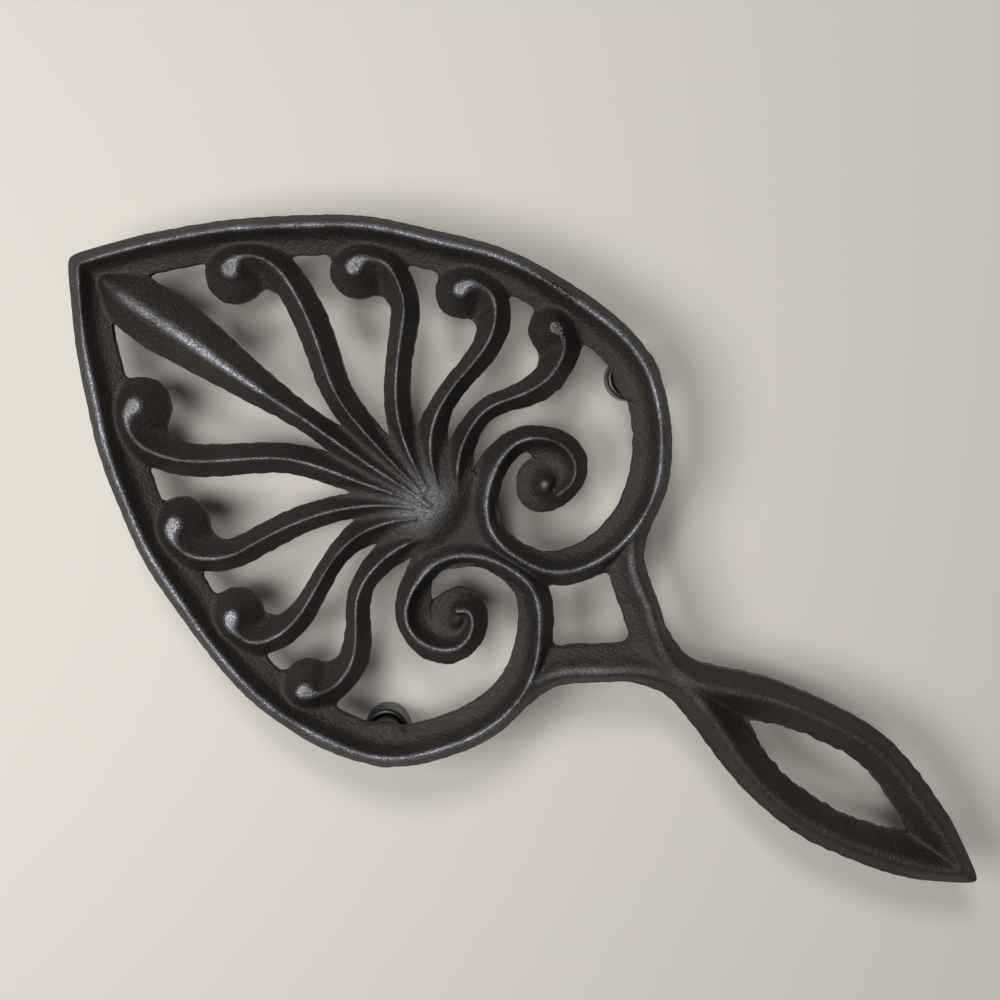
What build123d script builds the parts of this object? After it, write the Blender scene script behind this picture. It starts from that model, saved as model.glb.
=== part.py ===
from build123d import *
import math
import os
from typing import NamedTuple

# Leaf-shaped cast-iron trivet with a looped handle, standing on three legs with rubber tips.
# The casting is modelled as its members, which meet face to face: the rim that curls into the scrolls,
# the bud and fronds that spread from the fan, the yoke, the handle's rails and the legs.
# Lengths are millimetres. +X runs from the leaf's tip to the end of the handle, +Y is the left side seen
# from above with the tip behind, +Z is up, and the origin is on the table under the middle of the length.
# A place on the plan is a station, along the axis from the leaf's tip, and an offset from the axis.

# Heights of the casting, above its flat back
CREST_HEIGHT = 8.0       # bead, knobs, hub and bud, where a pot rests
FROND_HEIGHT = 7.4       # ridge of a frond where it leaves the fan
EDGE_HEIGHT = 2.6        # edge of a frond, the bud and the fan
RIM_WALL = 4.2           # outer wall of the rim, below the slope up to the bead
FLANGE_HEIGHT = 3.0      # inner edge of the rim, the scrolls, the yoke and the handle
FLANGE_RISE = 1.4        # how much thicker the flange is where the bead rises from it

# Shares of a strap's width, from the bead's middle: the strap is the rim and all that runs on from it
BEAD_OUTER_SHARE = 0.35  # flat of the bead, outwards
BEAD_INNER_SHARE = 0.1   # flat of the bead, inwards
BEAD_FOOT_SHARE = 0.42   # foot of the bead on the flange

# Leaf: its greatest half-width, at the rim's outer edge, and the station where that is
LEAF_HALF_WIDTH = 57.4
LEAF_WIDEST = 98.0

# Rim: its bead passes through these places on the plan, from the tip to the scroll
RIM_TIP_HEADING = 52.0   # degrees from the axis
RIM_FLANK = (30.0, 30.0)
RIM_BACK = (64.0, 6.8)   # station, and how much nearer to the axis than at the widest place
RIM_SHOULDER = (116.5, 3.7)  # the same, past the widest place
RIM_LOBE = (129.7, 38.8)
RIM_OUTSIDE = 1.3        # bead's middle to the outer edge
RIM_INSIDE = 6.4         # bead's middle to the flange's inner edge

# Scroll: a spiral about its eye, wide where the rim runs into it and tight at the eye
SCROLL_STATION = 113.5
SCROLL_START = 21.8      # radius where the rim ends
SCROLL_END = 4.5         # radius at the eye
SCROLL_ANGLE = 9.0       # degrees, where the rim ends
SCROLL_TURN = 369.0      # degrees
SCROLL_CLOSING = 1.35    # power of the share of turn left, more closes sooner
SCROLL_OUTSIDE = 3.2     # crest to outer edge, on the scroll itself
SCROLL_INSIDE = 2.6      # crest to inner edge, on the scroll itself
SCROLL_TAIL = 2.3        # crest to outer edge, where the scroll ends on its eye
LOBE_OUTSIDE = 2.3       # crest to outer edge, where the rim ends
LOBE_INSIDE = 6.4        # crest to inner edge, where the rim ends
LOBE_MEETING = 2.1       # crest to the axis, where the two lobes grow together
EYE_RADIUS = 6.3
EYE_SHIFT = 0.5          # eye's middle beyond the spiral's, along the axis
EYE_DISH = 4.4           # height of the dish round the eye's button
EYE_LIP = 1.2            # width of the slope from the eye's edge up to the dish
BUTTON_RADIUS = 2.8
BUTTON_FLAT = 1.4        # radius of the button's flat top
BUTTON_HEIGHT = 7.0

# Fan: pleats from the hub out to the webs between the fronds, by reach and angle from the axis
HUB_REACH = 14.5         # hub to the scroll's eye, along the axis
WEB_REACHES = (29.0, 22.0, 20.4, 15.2, 13.0)
WEB_ANGLES = (174.0, 159.0, 143.0, 125.0, 98.0)
FAN_LANDING = (2.5, 12.9)  # beyond the hub and off the axis, where the fan runs into the scroll
FAN_TAIL = 12.0          # beyond the hub, between the two scrolls

# Bud on the axis, thick near the tip and thin towards the fan
BUD_START = 9.8
BUD_WIDEST = 25.0
BUD_HALF_WIDTH = 7.0
BUD_NOSE = (0.35, 0.83, 0.94)  # a share of the way to the widest place: shares of the width and height there
BUD_START_WIDTH = 2.5    # half-width where the bud rises from the rim
BUD_START_HEIGHT = 5.6
BUD_TAPER = (0.4, 0.37)  # a share of the way on to the stem: share of the narrowing there
STEM_STATION = 58.0
STEM_HALF_WIDTH = 3.1

# Yoke and handle
NECK_REACH = 44.0        # beyond the scroll's eye
NECK_HALF_WIDTH = 4.6
YOKE_ANGLE = 3.0         # degrees about the scroll's eye, where the yoke leaves the lobe
YOKE_BEND = (32.2, 9.7)  # beyond the scroll's eye and off the axis
YOKE_OUTSIDE = 2.4
YOKE_INSIDE = 8.0
HANDLE_LENGTH = 82.5     # neck to end
HANDLE_WIDEST = 44.5     # beyond the neck
HANDLE_HALF_WIDTH = 14.0
HANDLE_FLARE = (20.0, 7.3)  # beyond the neck and off the axis, on the rail's crest
HANDLE_TAPER = (64.5, 8.2)  # the same, past the widest place
HANDLE_START_HEADING = 21.0  # degrees from the axis
HANDLE_END_HEADING = -31.0
RAIL_OUTSIDE = 2.5       # crest to outer edge
RAIL_INSIDE = 9.0        # crest to inner edge, before the loop is opened
RAIL_END_OUTSIDE = 1.3
LOOP_START = 22.0        # beyond the neck, near end of the opening for a finger or a hook
LOOP_END = 63.3
LOOP_HALF_WIDTH = 5.8

# Legs and rubber tips
FOOT_RIM_DISTANCE = 136.5  # along the bead from the leaf's tip
FOOT_INSET = 3.4         # leg's middle inside the bead
FRONT_FOOT_STATION = 13.0
LEG_REACH = 14.0         # leg's end to the casting's back
LEG_TOP_RADIUS = 4.8
LEG_END_RADIUS = 3.6
TIP_FLOOR = 3.0          # rubber under the leg's end
TIP_HEIGHT = 9.0
TIP_WALL = 1.6
TIP_ROUNDING = 1.0


# Knobs that the fronds end in, as shares of the knob's radius and of its height above the edge
KNOB_SHOULDER = (0.72, 0.68)
KNOB_FLAT = 0.36


class Frond(NamedTuple):
    """One frond: its knob on the rim, its half-widths, and the way its ridge takes between the two ends."""

    rim_distance: float  # along the bead from the leaf's tip to the knob
    inset: float         # knob's middle inside the bead
    knob_radius: float
    waist: float         # half-width at the middle
    shoulder: float      # half-width at the curl
    from_root: tuple     # places on the ridge, from its root on the fan
    from_knob: tuple     # places on the ridge, from the knob's middle


FRONDS = (
    Frond(33.5, 10.3, 6.3, 3.3, 3.7, ((-12.4, 4.8), (-20.4, 10.6)), ((14.5, 3.9), (7.0, 6.5), (1.5, 5.0))),
    Frond(63.6, 10.0, 6.0, 2.9, 3.3, ((-5.8, 6.6), (-10.2, 14.2)), ((12.5, -1.2), (5.5, 3.8), (1.3, 4.1))),
    Frond(88.1, 10.0, 6.0, 2.4, 3.2, ((-1.9, 7.7), (-1.2, 16.5)), ((10.5, -4.2), (7.1, 2.0), (2.5, 3.9))),
    Frond(113.0, 9.7, 5.5, 2.3, 3.0, ((-0.9, 8.2), (3.2, 17.4)), ((5.8, -6.1), (4.7, -2.3), (2.3, 0.3))),
)

HUB_STATION = SCROLL_STATION - HUB_REACH
NECK_STATION = SCROLL_STATION + NECK_REACH
OVERALL_LENGTH = NECK_STATION + HANDLE_LENGTH
BACK_HEIGHT = TIP_FLOOR + LEG_REACH
AXIS_PLANE = Plane(origin=(0, 0, 0), z_dir=(0, 1, 0))
STANDING = (Align.CENTER, Align.CENTER, Align.MIN)
NECK_PLANE = Plane(origin=(NECK_STATION - OVERALL_LENGTH / 2, 0, 0), z_dir=(1, 0, 0))
LEAD = 8.0               # how far a member is run past a plane that trims it

# How many steps each member's sections are spread over
RIM_SECTION_COUNT = 12
SCROLL_SECTION_COUNT = 24
FROND_SECTION_COUNT = 10
YOKE_SECTION_COUNT = 6
RAIL_SECTION_COUNT = 12

# Shares of a member's length over which its width changes
LOBE_WIDENING = 0.25     # the rim's last stretch, towards the lobe
SCROLL_SETTLING = 0.28   # the scroll's first stretch, from the lobe's width to its own
SCROLL_ENDING = 0.25     # the scroll's last stretch, onto its eye
NECK_SETTLING = 0.3      # the rail's first stretch, from the neck
RAIL_ENDING = 0.4        # the rail's last stretch, to the handle's end


def place(station, offset, height=0.0):
    """The point at a station and offset on the plan, at a height above the casting's back."""
    return Vector(station - OVERALL_LENGTH / 2, offset, BACK_HEIGHT + height)


def bearing(degrees):
    """A level direction, by its angle from the axis."""
    return Vector(math.cos(math.radians(degrees)), math.sin(math.radians(degrees)), 0)


def right_of(direction):
    """The level direction to the right of another."""
    return Vector(direction.Y, -direction.X, 0)


def shares(steps):
    """Even shares of a length, from none to all of it."""
    return [step / steps for step in range(steps + 1)]


def last_stretch(share, stretch):
    """How far into its last stretch a member has come, from none to all of it."""
    return max(0.0, share - 1 + stretch) / stretch


def lerp(low, high, share):
    """The value that lies this share of the way from low to high."""
    return low + (high - low) * share


def across(point, direction, profile):
    """Closed outline in the upright plane across a direction, from offsets to the right and heights."""
    right = right_of(direction.normalized())
    return Wire.make_polygon([point + right * aside + Vector(0, 0, height) for aside, height in profile])


def strap(point, direction, outside, inside):
    """Section of the rim and what runs on from it: a bead near the outer edge, and a flange inside it."""
    return across(point, direction, (
        (-outside, 0),
        (-outside, RIM_WALL),
        (-BEAD_OUTER_SHARE * outside, CREST_HEIGHT),
        (BEAD_INNER_SHARE * inside, CREST_HEIGHT),
        (BEAD_FOOT_SHARE * inside, FLANGE_HEIGHT + FLANGE_RISE),
        (inside, FLANGE_HEIGHT),
        (inside, 0),
    ))


def ridge(point, direction, half_width, height):
    """Section of a frond or the bud: a roof with a crest in the middle and low edges."""
    return across(point, direction, (
        (-half_width, 0),
        (-half_width, EDGE_HEIGHT),
        (0, height),
        (half_width, EDGE_HEIGHT),
        (half_width, 0),
    ))


def one_solid(shape):
    """The single solid that a cut or a split leaves."""
    solids = shape.solids() if hasattr(shape, "solids") else ShapeList(shape).solids()
    assert len(solids) == 1, f"{len(solids)} solids"
    return solids[0]


def left_of_axis(shape):
    """The part of a shape on the left of the axis."""
    return one_solid(split(shape, bisect_by=AXIS_PLANE, keep=Keep.TOP))


def trim(shape, *others):
    """A shape less the members that it runs into."""
    for other in others:
        shape = one_solid(shape - other)
    return shape


def spiral(degrees):
    """Point on the scroll's crest at an angle about the eye: the radius closes in as the turn goes on."""
    left = 1 - (SCROLL_ANGLE - degrees) / SCROLL_TURN
    radius = SCROLL_END + (SCROLL_START - SCROLL_END) * max(left, 0.0) ** SCROLL_CLOSING
    return SCROLL_MIDDLE + bearing(degrees) * radius


def spiral_heading(degrees):
    """Direction of travel along the scroll's crest, which turns to the right."""
    return (spiral(degrees - 0.5) - spiral(degrees + 0.5)).normalized()


LOWEST_LEFT = 1 - (SCROLL_ANGLE + 90) / SCROLL_TURN
SCROLL_OFFSET = LOBE_MEETING + SCROLL_END + (SCROLL_START - SCROLL_END) * LOWEST_LEFT ** SCROLL_CLOSING
SCROLL_MIDDLE = place(SCROLL_STATION, SCROLL_OFFSET)

# The bead's line, from the leaf's tip to where the scroll takes over
RIM_TIP = place(RIM_OUTSIDE / math.sin(math.radians(RIM_TIP_HEADING)), 0)
RIM_CROWN = LEAF_HALF_WIDTH - RIM_OUTSIDE
RIM_WAY = (
    RIM_FLANK,
    (RIM_BACK[0], RIM_CROWN - RIM_BACK[1]),
    (LEAF_WIDEST, RIM_CROWN),
    (RIM_SHOULDER[0], RIM_CROWN - RIM_SHOULDER[1]),
    RIM_LOBE,
)
BEAD = Edge.make_spline(
    [RIM_TIP] + [place(*spot) for spot in RIM_WAY] + [spiral(SCROLL_ANGLE)],
    tangents=[bearing(RIM_TIP_HEADING), spiral_heading(SCROLL_ANGLE)],
)


def inside_bead(distance, inset):
    """The place this far along the bead from the leaf's tip, and this far inside it."""
    point = BEAD.position_at(distance, PositionMode.LENGTH)
    return point + right_of(BEAD.tangent_at(distance, PositionMode.LENGTH)) * inset


def make_rim():
    """Left half of the rim, mitred on the axis at the tip."""
    heading = bearing(RIM_TIP_HEADING)
    sections = [strap(RIM_TIP - heading * LEAD, heading, RIM_OUTSIDE, RIM_INSIDE)]
    for share in shares(RIM_SECTION_COUNT):
        widen = last_stretch(share, LOBE_WIDENING)
        sections.append(strap(
            BEAD.position_at(share),
            BEAD.tangent_at(share),
            lerp(RIM_OUTSIDE, LOBE_OUTSIDE, widen),
            lerp(RIM_INSIDE, LOBE_INSIDE, widen),
        ))
    return left_of_axis(Solid.make_loft(sections))


def make_scroll_eye():
    """Dished disc at the middle of a scroll, with a button on it."""
    outline = Wire.make_polygon([
        (0, 0, 0),
        (EYE_RADIUS, 0, 0),
        (EYE_RADIUS, 0, EDGE_HEIGHT),
        (EYE_RADIUS - EYE_LIP, 0, EYE_DISH),
        (BUTTON_RADIUS, 0, EYE_DISH),
        (BUTTON_FLAT, 0, BUTTON_HEIGHT),
        (0, 0, BUTTON_HEIGHT),
    ])
    eye = revolve(Face(outline), axis=Axis.Z)
    return one_solid(Pos(*(SCROLL_MIDDLE + Vector(EYE_SHIFT, 0, 0))) * eye)


def make_scroll(eye):
    """Left lobe and scroll: the strap goes on round the spiral and ends on the eye."""
    sections = []
    for share in shares(SCROLL_SECTION_COUNT):
        degrees = SCROLL_ANGLE - SCROLL_TURN * share
        settle = min(1.0, share / SCROLL_SETTLING)
        outside = lerp(LOBE_OUTSIDE, SCROLL_OUTSIDE, settle)
        sections.append(strap(
            spiral(degrees),
            spiral_heading(degrees),
            lerp(outside, SCROLL_TAIL, last_stretch(share, SCROLL_ENDING)),
            lerp(LOBE_INSIDE, SCROLL_INSIDE, settle),
        ))
    return trim(left_of_axis(Solid.make_loft(sections)), eye)


def web(number):
    """Plan place where the fan splits between two members."""
    return place(HUB_STATION, 0) + bearing(WEB_ANGLES[number]) * WEB_REACHES[number]


def root(number):
    """Middle of a frond's root, halfway between the webs on its two sides."""
    return (web(number) + web(number + 1)) / 2


def stem_root():
    """Middle of the stem's root on the fan, on the axis between the first web and its twin."""
    return Vector(web(0).X, 0, web(0).Z)


def make_fan(scrolls):
    """Pleated fan: flat facets from the hub to each crest and web on its outline, trimmed by the scrolls."""
    hub = place(HUB_STATION, 0, CREST_HEIGHT)
    left = [(place(HUB_STATION + FAN_LANDING[0], FAN_LANDING[1]), EDGE_HEIGHT)]
    for number in reversed(range(len(FRONDS))):
        left.append((web(number + 1), EDGE_HEIGHT))
        left.append((root(number), FROND_HEIGHT))
    left.append((web(0), EDGE_HEIGHT))
    right = [(Vector(spot.X, -spot.Y, spot.Z), height) for spot, height in reversed(left)]
    tail = (place(HUB_STATION + FAN_TAIL, 0), EDGE_HEIGHT)
    outline = [tail] + left + [(stem_root(), FROND_HEIGHT)] + right
    low = [spot for spot, height in outline]
    high = [spot + Vector(0, 0, height) for spot, height in outline]
    faces = [Face(Wire.make_polygon(low))]
    for one in range(len(outline)):
        two = (one + 1) % len(outline)
        faces.append(Face(Wire.make_polygon([low[one], low[two], high[two], high[one]])))
        faces.append(Face(Wire.make_polygon([high[one], high[two], hub])))
    return trim(Solid(Shell(faces)), *scrolls)


def make_bud(rims):
    """Spear-shaped bud on the axis, from the rim's tip to the fan."""
    nose = lerp(BUD_START, BUD_WIDEST, BUD_NOSE[0])
    taper = lerp(BUD_WIDEST, STEM_STATION, BUD_TAPER[0])
    outline = (
        (place(BUD_START, 0), BUD_START_WIDTH, BUD_START_HEIGHT),
        (place(nose, 0), BUD_NOSE[1] * BUD_HALF_WIDTH, BUD_NOSE[2] * CREST_HEIGHT),
        (place(BUD_WIDEST, 0), BUD_HALF_WIDTH, CREST_HEIGHT),
        (place(taper, 0), lerp(BUD_HALF_WIDTH, STEM_HALF_WIDTH, BUD_TAPER[1]), CREST_HEIGHT),
        (place(STEM_STATION, 0), STEM_HALF_WIDTH, FROND_HEIGHT),
        (stem_root(), web(0).Y, FROND_HEIGHT),
    )
    sections = [ridge(spot, Vector(1, 0, 0), width, height) for spot, width, height in outline]
    return trim(Solid.make_loft(sections), *rims)


def make_frond(number, *neighbours):
    """One left frond: a ridge from its root on the fan to a domed knob that grows into the rim."""
    frond = FRONDS[number]
    start = root(number)
    knob = inside_bead(frond.rim_distance, frond.inset)
    way = [start + Vector(*step) for step in frond.from_root]
    way += [knob + Vector(*step) for step in frond.from_knob]
    line = Edge.make_spline([start] + way)
    root_line = web(number + 1) - web(number)
    facing = right_of(root_line) * -1
    sections = [ridge(start, facing, root_line.length / 2, FROND_HEIGHT)]
    for share in shares(FROND_SECTION_COUNT)[1:]:
        width = lerp(frond.waist, frond.shoulder, share)
        height = lerp(FROND_HEIGHT, CREST_HEIGHT, share)
        sections.append(ridge(line.position_at(share), line.tangent_at(share), width, height))
    stalk = Solid.make_loft(sections)
    dome = Wire.make_polygon([
        (0, 0, 0),
        (frond.knob_radius, 0, 0),
        (frond.knob_radius, 0, EDGE_HEIGHT),
        (KNOB_SHOULDER[0] * frond.knob_radius, 0, lerp(EDGE_HEIGHT, CREST_HEIGHT, KNOB_SHOULDER[1])),
        (KNOB_FLAT * frond.knob_radius, 0, CREST_HEIGHT),
        (0, 0, CREST_HEIGHT),
    ])
    curl = Pos(*knob) * revolve(Face(dome), axis=Axis.Z)
    return trim(one_solid(stalk + curl), *neighbours)


def make_yoke(rim, scroll):
    """Left leg of the yoke: from the lobe to the neck, where the two legs meet on the axis."""
    start = spiral(YOKE_ANGLE)
    bend = place(SCROLL_STATION + YOKE_BEND[0], YOKE_BEND[1])
    neck = place(NECK_STATION, 0)
    line = Edge.make_spline([start, bend, neck])
    sections = []
    for share in shares(YOKE_SECTION_COUNT):
        outside = lerp(YOKE_OUTSIDE, NECK_HALF_WIDTH, share ** 3)
        sections.append(strap(line.position_at(share), line.tangent_at(share), outside, YOKE_INSIDE))
    past = line.tangent_at(1)
    sections.append(strap(neck + past * LEAD, past, NECK_HALF_WIDTH, YOKE_INSIDE))
    leg = split(Solid.make_loft(sections), bisect_by=NECK_PLANE, keep=Keep.BOTTOM)
    return trim(left_of_axis(leg), rim, scroll)


def make_loop():
    """Lens-shaped opening of the handle: two arcs that meet on the axis, carried through the casting."""
    near = place(NECK_STATION + LOOP_START, 0, -LEAD)
    far = place(NECK_STATION + LOOP_END, 0, -LEAD)
    side = (near + far) / 2 + Vector(0, LOOP_HALF_WIDTH, 0)
    other = (near + far) / 2 - Vector(0, LOOP_HALF_WIDTH, 0)
    arcs = [Edge.make_three_point_arc(near, side, far), Edge.make_three_point_arc(far, other, near)]
    return extrude(Face(Wire(arcs)), amount=CREST_HEIGHT + 2 * LEAD, dir=(0, 0, 1))


def make_rail():
    """Left rail of the handle: it leaves the axis at the neck and comes back to it at the end."""
    neck = place(NECK_STATION, 0)
    end_heading = bearing(HANDLE_END_HEADING)
    end = place(OVERALL_LENGTH - RAIL_END_OUTSIDE / abs(end_heading.Y), 0)
    flare = place(NECK_STATION + HANDLE_FLARE[0], HANDLE_FLARE[1])
    widest = place(NECK_STATION + HANDLE_WIDEST, HANDLE_HALF_WIDTH - RAIL_OUTSIDE)
    taper = place(NECK_STATION + HANDLE_TAPER[0], HANDLE_TAPER[1])
    leaving = bearing(HANDLE_START_HEADING)
    line = Edge.make_spline([neck, flare, widest, taper, end], tangents=[leaving, end_heading])
    sections = [strap(neck - leaving * LEAD, leaving, NECK_HALF_WIDTH, RAIL_INSIDE)]
    for share in shares(RAIL_SECTION_COUNT):
        outside = lerp(RAIL_OUTSIDE, NECK_HALF_WIDTH, last_stretch(1 - share, NECK_SETTLING) ** 2)
        outside = lerp(outside, RAIL_END_OUTSIDE, last_stretch(share, RAIL_ENDING))
        sections.append(strap(line.position_at(share), line.tangent_at(share), outside, RAIL_INSIDE))
    sections.append(strap(end + end_heading * LEAD, end_heading, RAIL_END_OUTSIDE, RAIL_INSIDE))
    rail = split(Solid.make_loft(sections), bisect_by=NECK_PLANE, keep=Keep.TOP)
    return trim(left_of_axis(rail), make_loop())


def make_leg(middle, boss):
    """Leg from inside its rubber tip up to the casting's back; a boss runs on up beside the rim."""
    outline = Wire.make_polygon([
        (0, 0, TIP_FLOOR),
        (LEG_END_RADIUS, 0, TIP_FLOOR),
        (LEG_END_RADIUS, 0, TIP_HEIGHT),
        (LEG_TOP_RADIUS, 0, BACK_HEIGHT),
        (0, 0, BACK_HEIGHT),
    ])
    leg = revolve(Face(outline), axis=Axis.Z)
    if boss > 0:
        leg += Pos(0, 0, BACK_HEIGHT) * Cylinder(LEG_TOP_RADIUS, boss, align=STANDING)
    return one_solid(Pos(middle.X, middle.Y, 0) * leg)


def make_tip(middle):
    """Rubber cup pushed over a leg's end, rounded at the lip and round the foot."""
    outer = LEG_END_RADIUS + TIP_WALL
    cup = Cylinder(outer, TIP_HEIGHT, align=STANDING)
    cup = fillet(cup.edges().filter_by(GeomType.CIRCLE), TIP_ROUNDING)
    bore = Pos(0, 0, TIP_FLOOR) * Cylinder(LEG_END_RADIUS, TIP_HEIGHT, align=STANDING)
    return one_solid(Pos(middle.X, middle.Y, 0) * (cup - bore))


def other_side(shape):
    """The same member on the right of the axis."""
    return shape.mirror(Plane.XZ)


def save(name, shape):
    """Write one member as a STEP file of its own."""
    export_step(shape, f"parts/{name}.step")
    print(f"{name:16s} {shape.volume / 1000:8.3f} cm3")


def main():
    os.makedirs("parts", exist_ok=True)
    rim = make_rim()
    eye = make_scroll_eye()
    scroll = make_scroll(eye)
    yoke = make_yoke(rim, scroll)
    rail = make_rail()
    fan = make_fan((scroll, other_side(scroll)))
    bud = make_bud((rim, other_side(rim)))
    foot = inside_bead(FOOT_RIM_DISTANCE, FOOT_INSET)
    front_foot = place(FRONT_FOOT_STATION, 0)
    leg = trim(make_leg(foot, FLANGE_HEIGHT), rim)
    tip = make_tip(foot)
    pairs = {"rim": rim, "scroll": scroll, "scroll_eye": eye, "yoke": yoke, "handle_rail": rail}
    pairs.update({"leg": leg, "rubber_tip": tip})
    for number in range(len(FRONDS)):
        pairs[f"frond_{number + 1}"] = make_frond(number, rim, fan, bud)
    for name, shape in pairs.items():
        save(f"{name}_left", shape)
        save(f"{name}_right", other_side(shape))
    save("fan", fan)
    save("bud", bud)
    save("leg_front", make_leg(front_foot, 0))
    save("rubber_tip_front", make_tip(front_foot))
    print(f"length {OVERALL_LENGTH:.1f}, bead {BEAD.length:.1f}, scroll offset {SCROLL_OFFSET:.2f}")


main()
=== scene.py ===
# %% [markdown]
# # A leaf-shaped trivet of cast iron
# The real trivet is one iron casting on three short legs, with a rubber tip pushed over each leg.
# Its top is a relief: a beaded rim, a palmette of ribs, two scrolls and a looped handle, all running into
# each other with soft fillets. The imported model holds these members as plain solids, in metres, with the
# leaf's tip at -X. This lesson makes the casting again as one sculpted surface over the same plan.

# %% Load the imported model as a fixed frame
import math
from typing import NamedTuple

import bpy
import numpy as np
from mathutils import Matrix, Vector


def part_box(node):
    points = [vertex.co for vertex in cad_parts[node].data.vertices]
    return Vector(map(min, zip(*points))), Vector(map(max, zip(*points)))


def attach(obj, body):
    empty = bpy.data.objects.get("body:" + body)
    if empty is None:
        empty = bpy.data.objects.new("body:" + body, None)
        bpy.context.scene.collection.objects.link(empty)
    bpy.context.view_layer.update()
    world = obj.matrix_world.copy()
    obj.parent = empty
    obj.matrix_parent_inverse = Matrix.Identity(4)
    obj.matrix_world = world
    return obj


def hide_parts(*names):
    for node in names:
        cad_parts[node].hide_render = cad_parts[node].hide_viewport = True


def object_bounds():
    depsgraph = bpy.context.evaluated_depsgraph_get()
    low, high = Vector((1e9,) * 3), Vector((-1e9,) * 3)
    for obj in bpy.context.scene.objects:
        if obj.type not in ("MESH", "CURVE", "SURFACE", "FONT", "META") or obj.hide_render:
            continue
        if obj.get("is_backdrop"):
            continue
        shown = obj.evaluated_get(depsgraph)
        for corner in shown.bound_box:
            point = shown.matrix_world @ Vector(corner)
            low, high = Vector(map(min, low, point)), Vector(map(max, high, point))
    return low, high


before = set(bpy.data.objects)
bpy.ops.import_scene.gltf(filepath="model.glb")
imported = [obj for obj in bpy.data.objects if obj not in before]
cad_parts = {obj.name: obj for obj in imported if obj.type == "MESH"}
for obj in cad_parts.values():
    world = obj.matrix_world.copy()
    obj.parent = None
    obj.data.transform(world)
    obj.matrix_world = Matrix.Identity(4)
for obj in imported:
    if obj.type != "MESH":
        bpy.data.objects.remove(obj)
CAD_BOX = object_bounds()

print("nodes:", len(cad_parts), "box:", [tuple(round(x, 4) for x in corner) for corner in CAD_BOX])

# %% [markdown]
# ## Where things are
# A caster thinks of the plan of the pattern, so places are given in millimetres as a station, along the
# axis from the leaf's tip, and an offset from the axis. Heights are above the casting's flat back. What
# the frame already knows, such as the length, the eyes of the scrolls and the feet, is read from it.

# %% Read the main places from the frame
MM = 1000.0


def node_box(node):
    """Lowest and highest corner of a node in millimetres, with X counted from the leaf's tip."""
    corners = np.array([tuple(corner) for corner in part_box(node)]) * MM
    return corners - [CAD_BOX[0].x * MM, 0, 0]


def middle(node):
    """Station and offset of a node's middle."""
    return node_box(node).mean(0)[:2]


def metres(station, offset, height):
    """Points of the frame, in metres, from stations, offsets and heights above the casting's back."""
    return np.stack((station / MM + CAD_BOX[0].x, offset / MM, (height + BACK) / MM), -1)


BACK = node_box("rim_left")[0, 2]
CREST = node_box("rim_left")[1, 2] - BACK
END = node_box("handle_rail_left")[1, 0]
WIDEST = node_box("rim_left")[1, 1]
EYE = middle("scroll_eye_left")
FEET = {side: middle(f"rubber_tip_{side}") for side in ("left", "right", "front")}
print(f"back {BACK:.1f}, crest {CREST:.1f}, end {END:.1f}, widest {WIDEST:.1f}, eye {EYE.round(1)}")

# %% [markdown]
# ## The camera
# The picture was taken from straight above, with the trivet lying askew and not quite under the lens.
# Such a view needs no tilt: the camera looks down, is turned about the upright axis, and a small lens
# shift moves the frame to where the trivet lies. A tilted camera would bend the outline instead.

# %% Stand the camera over the trivet
PICTURE_TURN = math.radians(34.5)   # from the picture's right-hand edge down to the trivet's axis
PICTURE_WIDTH = 217.2               # millimetres across the picture at half the casting's height
CAMERA_PLACE = (92.0, 20.0)         # station and offset under the lens
CAMERA_RISE = 300.0                 # above the casting
FRAME_SHIFT = (0.0298, -0.0786)     # shares of the picture's width

camera_data = bpy.data.cameras.new("camera")
camera_data.lens = camera_data.sensor_width * CAMERA_RISE / PICTURE_WIDTH
camera_data.shift_x, camera_data.shift_y = FRAME_SHIFT
camera_data.clip_start = 0.01
camera = bpy.data.objects.new("camera", camera_data)
camera.location = metres(*CAMERA_PLACE, CAMERA_RISE + CREST / 2)
camera.rotation_euler = (0, 0, PICTURE_TURN)
bpy.context.scene.collection.objects.link(camera)
bpy.context.scene.camera = camera
print(f"lens {camera_data.lens:.1f} mm, {CAMERA_RISE:.0f} mm above the casting")

# %% [markdown]
# ## Lines on the plan
# Every rib of the relief follows a line that a carver would draw on the pattern first. A line here is a
# cubic spline through a few places, resampled into even short steps. A rib is then a height that depends
# only on how far a place is from the line, and on which side.

# %% Draw smooth lines through a few places
STEP = 0.3      # millimetres between the points of a line


class Line(NamedTuple):
    """Points along a line, its direction at each of them, and how far along each of them is."""

    spots: np.ndarray
    ways: np.ndarray
    runs: np.ndarray


def trace(points):
    """A line through close points: they are spread evenly by length, and the directions are differences."""
    runs = np.concatenate(([0], np.cumsum(np.hypot(*np.diff(points, axis=0).T))))
    even = np.linspace(0, runs[-1], int(runs[-1] / STEP) + 2)
    spots = np.stack([np.interp(even, runs, points[:, axis]) for axis in (0, 1)], -1)
    ways = np.gradient(spots, axis=0)
    return Line(spots, ways / np.hypot(*ways.T)[:, None], even)


def direction(heading):
    """Step of length 1 on the plan, for a heading in degrees from the axis."""
    return np.array((math.cos(math.radians(heading)), math.sin(math.radians(heading))))


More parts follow.
